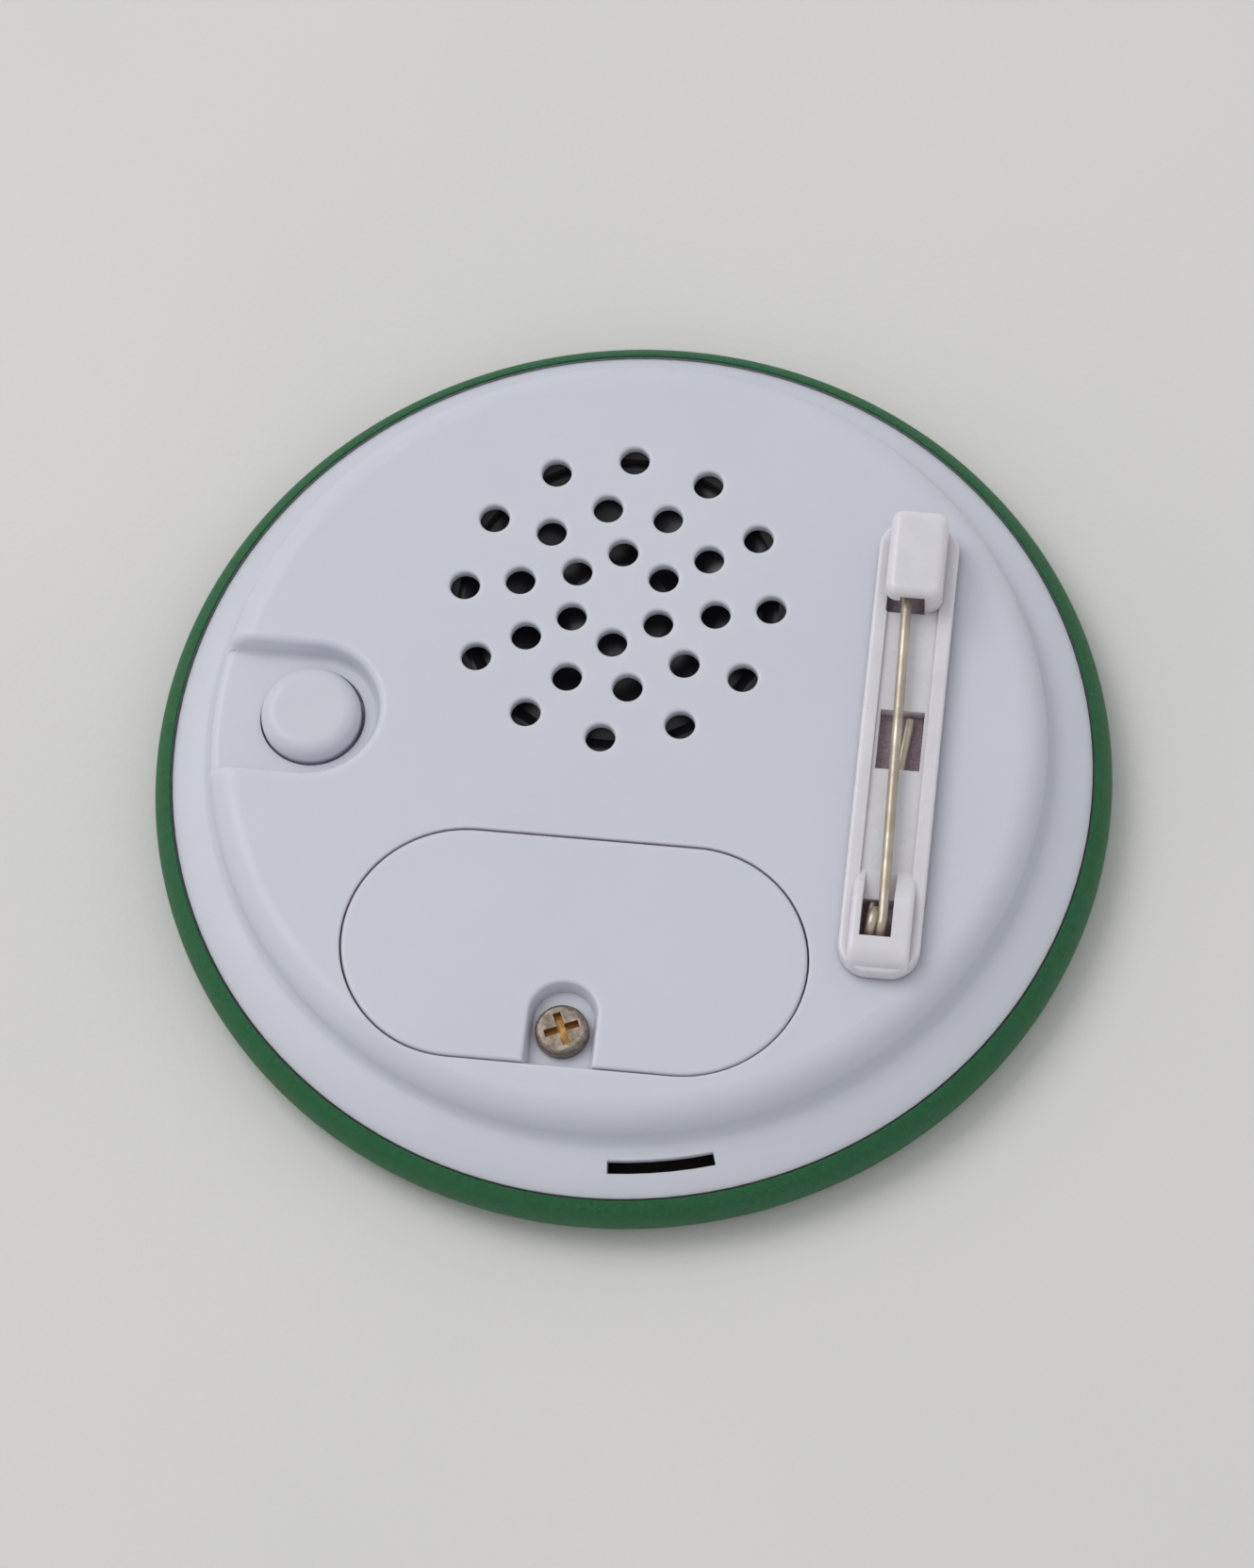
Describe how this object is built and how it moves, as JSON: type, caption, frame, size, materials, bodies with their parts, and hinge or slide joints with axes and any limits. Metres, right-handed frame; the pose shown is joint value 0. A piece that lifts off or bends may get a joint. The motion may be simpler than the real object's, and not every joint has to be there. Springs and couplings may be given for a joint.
{
  "type": "talking button badge",
  "caption": "Round pin-back button badge with a built-in sound module: speaker grille, battery door, push button and a bar pin on its white moulded back.",
  "frame": {"origin": "centre of the flat front face, which the badge rests on when it lies face down", "axes": "+Z from the badge's front to its back, +Y from the battery door towards the speaker grille, +X towards the bar pin"},
  "size_m": [0.075, 0.075, 0.0136],
  "materials": {
    "film": "clear glossy polyester film",
    "print": "green printed paper, fine speckle",
    "tin": "bright tinplate",
    "abs": "cool white moulded ABS, fine satin texture",
    "cover_board": "dark brown-black pressed board",
    "button_abs": "cool white moulded ABS, slightly polished",
    "screw_steel": "nickel-plated steel with a warm tint",
    "pin_plastic": "slightly translucent white plastic",
    "adhesive": "mauve-grey foam tape",
    "pin_steel": "bright spring wire, pale gold hue",
    "contact_nickel": "nickel-plated strip",
    "switch_black": "black moulded plastic",
    "board": "green solder mask",
    "epoxy": "black epoxy",
    "capacitor": "tan ceramic",
    "gasket": "black foam",
    "cone_film": "black pressed film cone",
    "speaker_steel": "zinc-plated pressed steel",
    "magnet": "sintered magnet",
    "copper": "enamelled copper winding",
    "cell_steel": "nickel-plated steel can",
    "wire_red": "red PVC insulation",
    "wire_black": "black PVC insulation"
  },
  "bodies": {
    "badge": {"clear_film": "film", "printed_wrap": "print", "front_shell": "tin", "inner_cover": "cover_board", "back_housing": "abs", "pin_bar": "pin_plastic", "pin_bar_adhesive": "adhesive", "pin_coil": "pin_steel", "contact_negative": "contact_nickel", "contact_link_a": "contact_nickel", "contact_link_b": "contact_nickel", "contact_positive": "contact_nickel", "switch_base": "switch_black", "switch_dome": "contact_nickel", "circuit_board": "board", "board_screws": "screw_steel", "sound_chip": "epoxy", "board_resistors": "epoxy", "board_capacitor": "capacitor", "speaker_gasket": "gasket", "speaker_cone": "cone_film", "speaker_frame": "speaker_steel", "speaker_yoke": "speaker_steel", "speaker_magnet": "magnet", "speaker_pole_plate": "speaker_steel", "voice_coil": "copper", "speaker_terminal_board": "board", "battery_cell_left": "cell_steel", "battery_cell_middle": "cell_steel", "battery_cell_right": "cell_steel", "speaker_wire_red": "wire_red", "speaker_wire_black": "wire_black", "battery_wire_black": "wire_black", "battery_wire_red": "wire_red"},
    "button": {"push_button": "button_abs", "switch_plunger": "switch_black"},
    "needle": {"pin_needle": "pin_steel"},
    "door": {"battery_door": "abs"},
    "screw": {"door_screw": "screw_steel"}
  },
  "joints": [
    {"name": "button_press", "type": "slide", "parent": "badge", "child": "button", "axis": [0, 0, -1], "range_m": [0, 0.00045], "stiffness_N_per_m": 1000, "springref_m": -0.0005, "deforming": ["switch_dome"]},
    {"name": "needle_swing", "type": "hinge", "parent": "badge", "child": "needle", "pos_m": [0.021, -0.0141, 0.0115], "axis": [-0.021, 0.9269, 0.3746], "range_deg": [0, 160]},
    {"name": "door_lift", "type": "slide", "parent": "badge", "child": "door", "axis": [0, 0, 1], "range_m": [0, 0.012]},
    {"name": "screw_withdraw", "type": "slide", "parent": "door", "child": "screw", "axis": [0, 0, 1], "range_m": [0, 0.008]}
  ]
}
